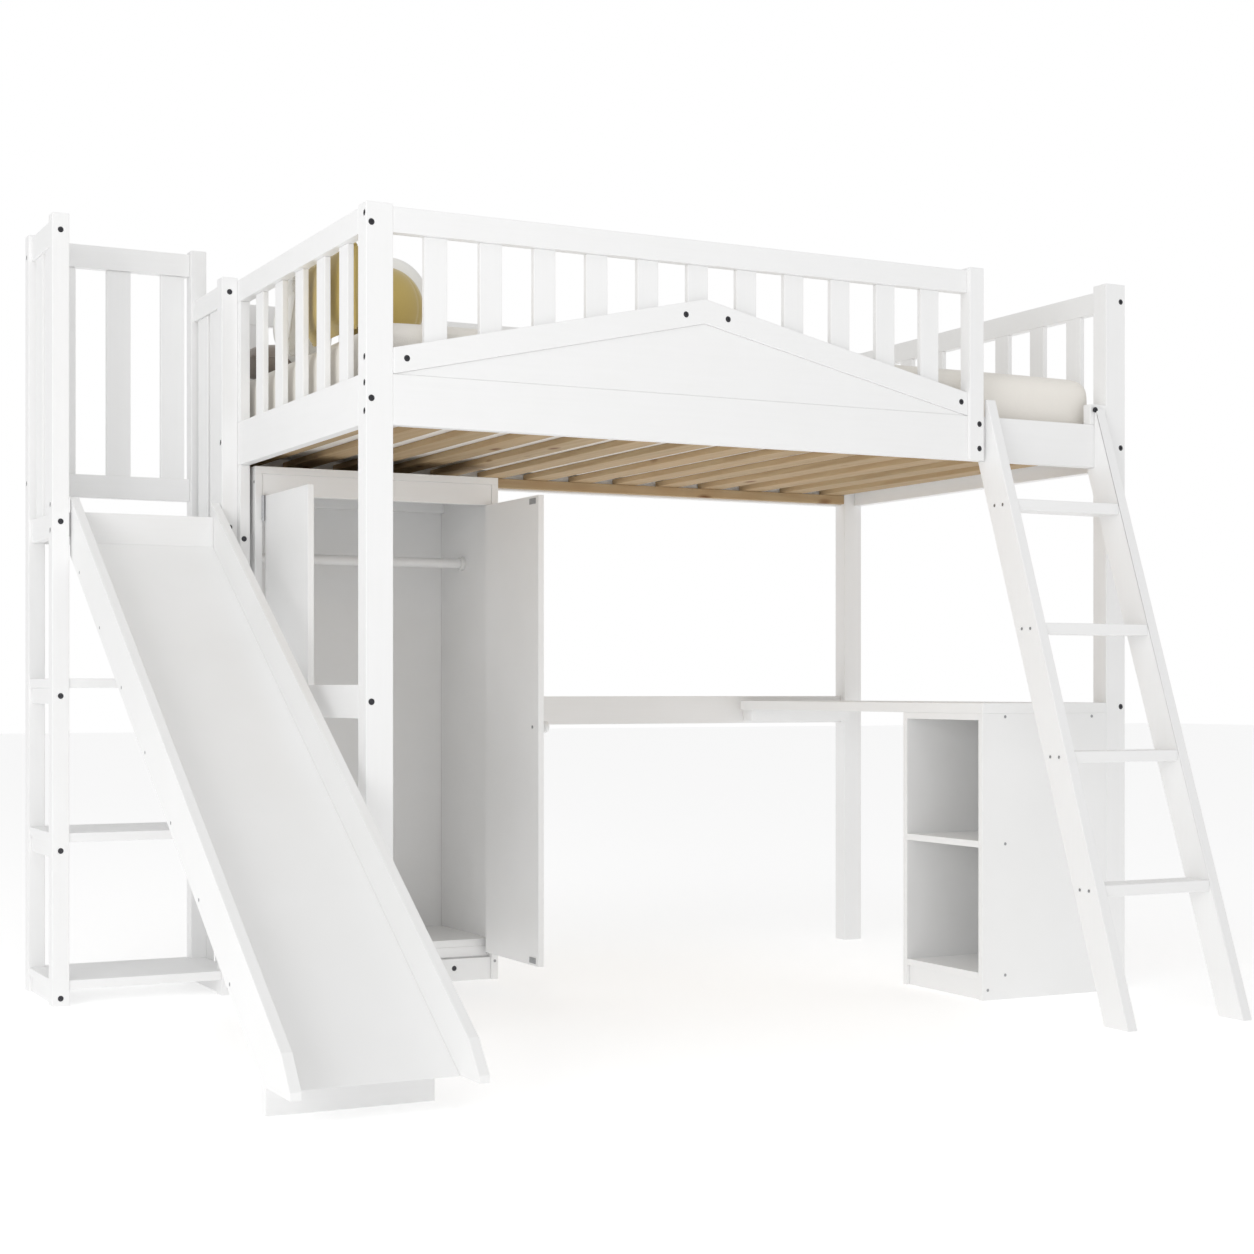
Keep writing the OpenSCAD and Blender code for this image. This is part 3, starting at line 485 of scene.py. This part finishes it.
def cloth(name, base, shade, thread, rough, sheen, bump_depth):
    """Woven, knitted or cut pile cloth: crossed threads or loops with uneven dye and a soft
    sheen at glancing angles."""
    made, tree, shader = new_finish(name, Roughness=rough, IOR=1.46, Specular_IOR_Level=0.25)
    shader.inputs["Sheen Weight"].default_value = sheen
    shader.inputs["Sheen Roughness"].default_value = 0.45
    dye = add(
        tree,
        "ShaderNodeTexNoise",
        {"Vector": stretched(tree, [DYE] * 3), "Scale": 1.0, "Detail": 4.0},
    )
    tufts = add(
        tree,
        "ShaderNodeTexNoise",
        {"Vector": stretched(tree, [1 / thread] * 3), "Scale": 1.0, "Detail": 2.0},
    )
    loops = add(
        tree,
        "ShaderNodeTexVoronoi",
        {"Vector": stretched(tree, [1 / thread] * 3), "Scale": 1.0},
    )
    both = add(
        tree,
        "ShaderNodeMath",
        {0: dye.outputs["Fac"], 1: tufts.outputs["Fac"]},
        operation="MULTIPLY",
    )
    tone = add(
        tree,
        "ShaderNodeMix",
        {"Factor": both.outputs[0], "A": rgba(base), "B": [c * shade for c in base] + [1.0]},
        data_type="RGBA",
    )
    tree.links.new(tone.outputs["Result"], shader.inputs["Base Color"])
    weave = add(
        tree,
        "ShaderNodeBump",
        {"Strength": 0.6, "Distance": bump_depth, "Height": loops.outputs["Distance"]},
    )
    tree.links.new(weave.outputs["Normal"], shader.inputs["Normal"])
    return made


def dress(name, material, edge=0.0, steps=2):
    """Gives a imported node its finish, and eases its edges where the real one is rounded."""
    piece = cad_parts[name]
    piece.data.materials.clear()
    piece.data.materials.append(material)
    if edge:
        weld = piece.modifiers.new("joined", "WELD")
        weld.merge_threshold = 0.01 * MM
        ease = piece.modifiers.new("eased", "BEVEL")
        ease.limit_method = "ANGLE"
        ease.angle_limit = math.radians(40)
        ease.width = edge
        ease.segments = steps
        ease.use_clamp_overlap = False
        ease.loop_slide = False
    return piece


def object_from(name, bm, material):
    """A finished piece from a bmesh whose vertices are already in place."""
    bmesh.ops.recalc_face_normals(bm, faces=bm.faces)
    mesh = bpy.data.meshes.new(name)
    bm.to_mesh(mesh)
    bm.free()
    mesh.shade_smooth()
    mesh.materials.append(material)
    made = bpy.data.objects.new(name, mesh)
    bpy.context.scene.collection.objects.link(made)
    return made


def round_edges(bm, edges, radius):
    bmesh.ops.bevel(
        bm, geom=edges, offset=radius, segments=8, affect="EDGES", profile=0.5, material=-1
    )


def remesh(piece, voxel):
    bpy.ops.object.select_all(action="DESELECT")
    piece.select_set(True)
    bpy.context.view_layer.objects.active = piece
    piece.data.remesh_voxel_size = voxel
    if bpy.ops.object.voxel_remesh() != {"FINISHED"}:
        raise RuntimeError(piece.name + " could not be remeshed")
    piece.data.shade_smooth()


def stuff(piece, voxel, cap, frames=20, pressure=4.0):
    """Fills a closed cloth shape with stuffing, and lets no point move further than cap."""
    remesh(piece, voxel)
    before = [v.co.copy() for v in piece.data.vertices]
    scene = bpy.context.scene
    work = piece.modifiers.new("stuffing", "CLOTH")
    work.settings.quality = 5
    work.settings.use_pressure = True
    work.settings.uniform_pressure_force = pressure
    work.settings.effector_weights.gravity = 0.0
    work.point_cache.frame_start = 1
    work.point_cache.frame_end = frames
    for now in range(1, frames + 1):
        scene.frame_set(now)
    seen = piece.evaluated_get(bpy.context.evaluated_depsgraph_get())
    after = [v.co.copy() for v in seen.data.vertices]
    if len(after) != len(before):
        raise RuntimeError(piece.name + " changed its vertices while it was stuffed")
    piece.modifiers.remove(work)
    scene.frame_set(1)
    for vert, was, now in zip(piece.data.vertices, before, after):
        step = now - was
        vert.co = was + step * min(1.0, cap / max(step.length, 1e-9))
    piece.data.update()


def smooth(piece):
    sub = piece.modifiers.new("rounded", "SUBSURF")
    sub.levels = 1
    sub.render_levels = 1


def welt(name, points, material):
    """A closed cord of cloth along a seam, as a mesh."""
    curve = bpy.data.curves.new(name, "CURVE")
    curve.dimensions = "3D"
    curve.bevel_depth = WELT_RADIUS
    curve.bevel_resolution = 2
    spline = curve.splines.new("POLY")
    spline.points.add(len(points) - 1)
    for slot, at in zip(spline.points, points):
        slot.co = [*at, 1.0]
    spline.use_cyclic_u = True
    made = bpy.data.objects.new(name, curve)
    bpy.context.scene.collection.objects.link(made)
    bpy.ops.object.select_all(action="DESELECT")
    made.select_set(True)
    bpy.context.view_layer.objects.active = made
    bpy.ops.object.convert(target="MESH")
    made = bpy.context.view_layer.objects.active
    made.data.shade_smooth()
    made.data.materials.clear()
    made.data.materials.append(material)
    return made


def case_outline(size, pull, turns=120):
    """Points round the seam of a cushion that lies in its own XZ plane, its sides drawn in."""
    points = []
    for i in range(turns):
        a = 2 * math.pi * i / turns
        c, s = math.cos(a), math.sin(a)
        u = math.copysign(abs(c) ** 0.28, c)
        v = math.copysign(abs(s) ** 0.28, s)
        points.append(pulled(u, v, size, pull))
    return points


def pulled(u, v, size, pull):
    return Vector(
        (
            u * size[0] / 2 * (1 - pull * (1 - v * v)),
            0.0,
            v * size[2] / 2 * (1 - pull * (1 - u * u)),
        )
    )


def cushion_shape(size, pull, cuts, dents):
    """A stuffed case: length, thickness and height in size, crowned in the middle, thin at the
    seam, with its sides drawn in between the corners."""
    bm = bmesh.new()
    bmesh.ops.create_cube(bm, size=2.0)
    bmesh.ops.subdivide_edges(bm, edges=bm.edges, cuts=cuts, use_grid_fill=True)
    for vert in bm.verts:
        u, w, v = vert.co
        # A square's rim rounded to a superellipse at the corners.
        round_off = 1 - 0.055 * (abs(u) * abs(v)) ** 6
        crown = ((1 - abs(u) ** 3.2) * (1 - abs(v) ** 3.2)) ** 0.5
        at = pulled(u * round_off, v * round_off, size, pull)
        fold = noise.noise(Vector((u * 2.1, w * 0.7, v * 2.3))) * dents
        at.y = w * size[1] / 2 * (0.1 + 0.9 * crown) + fold * crown
        vert.co = at
    return bm


def place_at(x, y, z, turn=0.0, lean=0.0):
    """A placement from millimetres at the bed's front left corner and degrees."""
    return (
        Matrix.Translation(Vector((x, y, z)) * MM - ORIGIN)
        @ Matrix.Rotation(math.radians(turn), 4, "Z")
        @ Matrix.Rotation(math.radians(lean), 4, "X")
    )


def make_cushion(name, size, place, material, node, cap, pull=0.055, dents=0.004):
    """One stuffed case with its welt, riding on the bedding."""
    bm = cushion_shape(size, pull, 15, dents)
    bmesh.ops.transform(bm, matrix=place, verts=bm.verts)
    piece = object_from(name, bm, material)
    stuff(piece, CUSHION_VOXEL, cap)
    tree = kdtree.KDTree(len(piece.data.vertices))
    for vert in piece.data.vertices:
        tree.insert(vert.co, vert.index)
    tree.balance()
    seam = [tree.find(place @ at)[0] for at in case_outline(size, pull)]
    cord = welt(name + "_welt", seam, material)
    smooth(piece)
    for made in (piece, cord):
        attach(made, "bedding")
    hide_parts(node)


class LOFT_OT_timber(bpy.types.Operator):
    """Paint the posts, rails, slats, ladder and shelves"""

    bl_idname = "loft.timber"
    bl_label = "Paint the timber"

    def execute(self, context):
        p = context.scene.loft_finish
        for axis, names in (("X", ALONG_X), ("Y", ALONG_Y), ("Z", ALONG_Z)):
            paint = painted_timber(axis)
            for name in names:
                dress(name, paint, p.eased_edge)
        return {"FINISHED"}


class LOFT_OT_boards(bpy.types.Operator):
    """Lacquer the wardrobe, doors, desk, cabinet and slide"""

    bl_idname = "loft.boards"
    bl_label = "Lacquer the boards"

    def execute(self, context):
        lacquer = painted_board()
        for name in BOARDS:
            dress(name, lacquer, context.scene.loft_finish.board_edge)
        for name in KNOBS:
            dress(name, lacquer)
        return {"FINISHED"}


class LOFT_OT_pine(bpy.types.Operator):
    """Leave the mattress slats and their ledgers in bare pine"""

    bl_idname = "loft.pine"
    bl_label = "Bare pine"

    def execute(self, context):
        for name, axis in BARE.items():
            dress(name, bare_pine(axis), context.scene.loft_finish.eased_edge)
        return {"FINISHED"}


class LOFT_OT_metal(bpy.types.Operator):
    """Finish the bolts, hinges, screws and plates"""

    bl_idname = "loft.metal"
    bl_label = "Metal fittings"

    def execute(self, context):
        dress("frame_bolts", steel("blackened_steel", "#56565A", 0.38, BOLT_CLOUDS))
        zinc = steel("zinc_plated_steel", "#B9BABC", 0.34, ZINC_CLOUDS)
        for name in ZINC:
            dress(name, zinc)
        plastic = moulded_plastic()
        for name in PLASTIC:
            dress(name, plastic, PLASTIC_EDGE)
        return {"FINISHED"}


class LOFT_OT_mattress(bpy.types.Operator):
    """Make the mattress, rounded at its corners and edges"""

    bl_idname = "loft.mattress"
    bl_label = "Mattress"

    def execute(self, context):
        p = context.scene.loft_bedding
        knit = cloth("knitted_mattress_cover", p.ticking, 0.94, p.weave, 0.9, 0.15, 0.5 * MM)
        low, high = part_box("mattress")
        size, middle = high - low, (low + high) / 2
        bm = bmesh.new()
        bmesh.ops.create_cube(bm, size=1.0)
        bmesh.ops.scale(bm, vec=size, verts=bm.verts)
        upright = [e for e in bm.edges if abs(e.verts[0].co.z - e.verts[1].co.z) > size.z / 2]
        round_edges(bm, upright, MATTRESS_CORNER)
        rims = [
            e
            for e in bm.edges
            if abs(e.verts[0].co.z - e.verts[1].co.z) < MM
            and len({f.normal.z > 0.5 or f.normal.z < -0.5 for f in e.link_faces}) == 2
        ]
        round_edges(bm, rims, MATTRESS_EDGE)
        bmesh.ops.translate(bm, vec=middle, verts=bm.verts)
        piece = object_from("mattress_cover", bm, knit)
        remesh(piece, MATTRESS_VOXEL)
        for vert in piece.data.vertices:
            vert.co += mattress_give(vert.co, middle, size)
        smooth(piece)
        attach(piece, "bedding")
        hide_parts("mattress")
        return {"FINISHED"}


def mattress_give(at, middle, size):
    """How the foam and its cover stand out or sink at a point: a soft crown, fuller walls and
    shallow creases."""
    u, v = (at.x - middle.x) / (size.x / 2), (at.y - middle.y) / (size.y / 2)
    w = (at.z - middle.z) / (size.z / 2)
    out = Vector((0.0, 0.0, 0.0))
    if w > 0:
        out.z = w * (3 * MM * (1 - u * u) * (1 - v * v) - 5 * MM * (abs(u) ** 14 + abs(v) ** 14) / 2)
    wall = 1 - w * w
    out.x = math.copysign(4 * MM * wall * abs(u) ** 20, u)
    out.y = math.copysign(3 * MM * wall * abs(v) ** 20, v)
    crease = noise.noise(Vector((at.x * 5.0, at.y * 5.0, at.z * 9.0)))
    return out + Vector((0.0, 0.0, 1.6 * MM * crease * max(w, 0.0)))


class LOFT_OT_pillows(bpy.types.Operator):
    """Make the two bed pillows and the round one"""

    bl_idname = "loft.pillows"
    bl_label = "Pillows"

    def execute(self, context):
        p = context.scene.loft_bedding
        cotton = cloth("cotton_pillow_case", p.cotton, 0.95, p.weave, 0.85, 0.1, 0.3 * MM)
        size = (0.420, 0.088, 0.200)
        for name, place in (
            ("pillow_left", place_at(150, 800, 1620, turn=62, lean=4)),
            ("pillow_back", place_at(597, 1042, 1620, lean=-4)),
        ):
            make_cushion(
                name,
                size=size,
                place=place,
                material=cotton,
                node="pillows",
                cap=p.swell,
                dents=0.006,
            )
        round_cushion(
            "pillow_round",
            radii=(0.104, 0.058, 0.123),
            place=place_at(283, 586, 1641, turn=-25),
            material=cotton,
            node="pillows",
        )
        return {"FINISHED"}


class LOFT_OT_cushions(bpy.types.Operator):
    """Make the square, round and flat cushions"""

    bl_idname = "loft.cushions"
    bl_label = "Cushions"

    def execute(self, context):
        p = context.scene.loft_bedding
        gold = cloth("gold_velvet", p.gold, 0.82, p.weave, 0.8, 0.55, 0.3 * MM)
        taupe = cloth("taupe_velvet", p.taupe, 0.85, p.weave, 0.8, 0.5, 0.3 * MM)
        make_cushion(
            "square_cushion",
            size=(0.290, 0.062, 0.205),
            place=place_at(77, 390, 1620, turn=90),
            material=gold,
            node="cushions",
            cap=p.swell * 0.6,
        )
        make_cushion(
            "flat_cushion",
            size=(0.192, 0.080, 0.192),
            place=place_at(150, 992, 1563, lean=90),
            material=taupe,
            node="cushions",
            cap=p.swell * 0.5,
            pull=0.03,
        )
        round_cushion(
            "round_cushion",
            radii=(0.0945, 0.0945, 0.0935),
            place=place_at(200, 410, 1606, turn=12, lean=18),
            material=gold,
            node="cushions",
        )
        return {"FINISHED"}


def round_cushion(name, radii, place, material, node):
    """A round of six gores with sunk seams, flattened where it rests."""
    bm = bmesh.new()
    bmesh.ops.create_uvsphere(bm, u_segments=72, v_segments=36, radius=1.0)
    for vert in bm.verts:
        turn = math.atan2(vert.co.y, vert.co.x)
        off = (turn * 6 / (2 * math.pi)) % 1.0
        seam = math.exp(-((min(off, 1 - off) / 0.035) ** 2)) * (1 - vert.co.z**2)
        vert.co *= 1 - 0.03 * seam
        if vert.co.z < -0.85:
            vert.co.z = -0.85 - (abs(vert.co.z) - 0.85) * 0.5
    bmesh.ops.scale(bm, vec=radii, verts=bm.verts)
    bmesh.ops.transform(bm, matrix=place, verts=bm.verts)
    piece = object_from(name, bm, material)
    smooth(piece)
    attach(piece, "bedding")
    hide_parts(node)


def soft_light(name, at, aim, side, watts):
    lamp = bpy.data.lights.new(name, "AREA")
    lamp.shape = "DISK"
    lamp.size = side
    lamp.energy = watts
    made = bpy.data.objects.new(name, lamp)
    made.location = at
    made.rotation_euler = (Vector(aim) - Vector(at)).to_track_quat("-Z", "Y").to_euler()
    bpy.context.scene.collection.objects.link(made)


class LOFT_OT_stage(bpy.types.Operator):
    """Set the floor, the lights and the camera"""

    bl_idname = "loft.stage"
    bl_label = "Stage"

    def execute(self, context):
        p = context.scene.loft_stage
        scene = context.scene
        bm = bmesh.new()
        bmesh.ops.create_grid(bm, x_segments=1, y_segments=1, size=p.floor_side / 2)
        plain, _, shader = new_finish("plain_floor", Roughness=0.9, Specular_IOR_Level=0.1)
        shader.inputs["Base Color"].default_value = rgba(p.floor)
        shader.inputs["Emission Color"].default_value = rgba(p.floor)
        shader.inputs["Emission Strength"].default_value = p.floor_glow
        object_from("floor", bm, plain)

        world = bpy.data.worlds.new("studio")
        world.use_nodes = True
        backdrop = world.node_tree.nodes["Background"]
        backdrop.inputs["Color"].default_value = linear("#FFFFFF")
        # White where the camera sees it, and dimmer as a light.
        path = add(world.node_tree, "ShaderNodeLightPath")
        strength = add(
            world.node_tree,
            "ShaderNodeMapRange",
            {"Value": path.outputs["Is Camera Ray"], "To Min": p.sky, "To Max": 1.0},
        )
        world.node_tree.links.new(strength.outputs["Result"], backdrop.inputs["Strength"])
        scene.world = world
        soft_light("key", at=(-5.2, -3.4, 1.7), aim=(-0.2, 0.0, 0.9), side=3.0, watts=66)
        soft_light("top", at=(-2.2, -2.6, 5.2), aim=(-0.4, 0.0, 0.8), side=3.5, watts=34)

        lens = bpy.data.cameras.new("camera")
        lens.sensor_width = SENSOR
        lens.lens = p.focal
        lens.shift_x = SHIFT_X
        lens.shift_y = SHIFT_Y
        lens.clip_end = 100.0
        eye = bpy.data.objects.new("camera", lens)
        eye.location = Vector((EYE_X, EYE_Y, p.eye_height)) - ORIGIN
        eye.rotation_euler = (math.radians(90), 0.0, HEADING)
        scene.collection.objects.link(eye)
        scene.camera = eye
        scene.view_settings.view_transform = "Standard"
        return {"FINISHED"}


class LOFT_PT_panel(bpy.types.Panel):
    """Sizes, colours and steps of the loft bed"""

    bl_idname = "LOFT_PT_panel"
    bl_label = "Loft bed"
    bl_space_type = "VIEW_3D"
    bl_region_type = "UI"
    bl_category = "Loft bed"

    def draw(self, context):
        for group in (
            context.scene.loft_finish,
            context.scene.loft_bedding,
            context.scene.loft_stage,
        ):
            box = self.layout.box()
            for key in group.__annotations__:
                box.prop(group, key)
        for step in STEPS:
            self.layout.operator(step.bl_idname)


GROUPS = (
    ("loft_finish", LoftBedFinish),
    ("loft_bedding", LoftBedBedding),
    ("loft_stage", LoftBedStage),
)
STEPS = (
    LOFT_OT_stage,
    LOFT_OT_timber,
    LOFT_OT_boards,
    LOFT_OT_pine,
    LOFT_OT_metal,
    LOFT_OT_mattress,
    LOFT_OT_pillows,
    LOFT_OT_cushions,
)


def register():
    for key, group in GROUPS:
        bpy.utils.register_class(group)
        setattr(bpy.types.Scene, key, bpy.props.PointerProperty(type=group))
    for step in (*STEPS, LOFT_PT_panel):
        bpy.utils.register_class(step)


def unregister():
    for step in reversed((*STEPS, LOFT_PT_panel)):
        bpy.utils.unregister_class(step)
    for key, group in reversed(GROUPS):
        delattr(bpy.types.Scene, key)
        bpy.utils.unregister_class(group)


def main():
    register()
    bpy.ops.loft.stage()
    bpy.ops.loft.timber()
    bpy.ops.loft.boards()
    bpy.ops.loft.pine()
    bpy.ops.loft.metal()
    bpy.ops.loft.mattress()
    bpy.ops.loft.pillows()
    bpy.ops.loft.cushions()


if __name__ == "__main__":
    main()
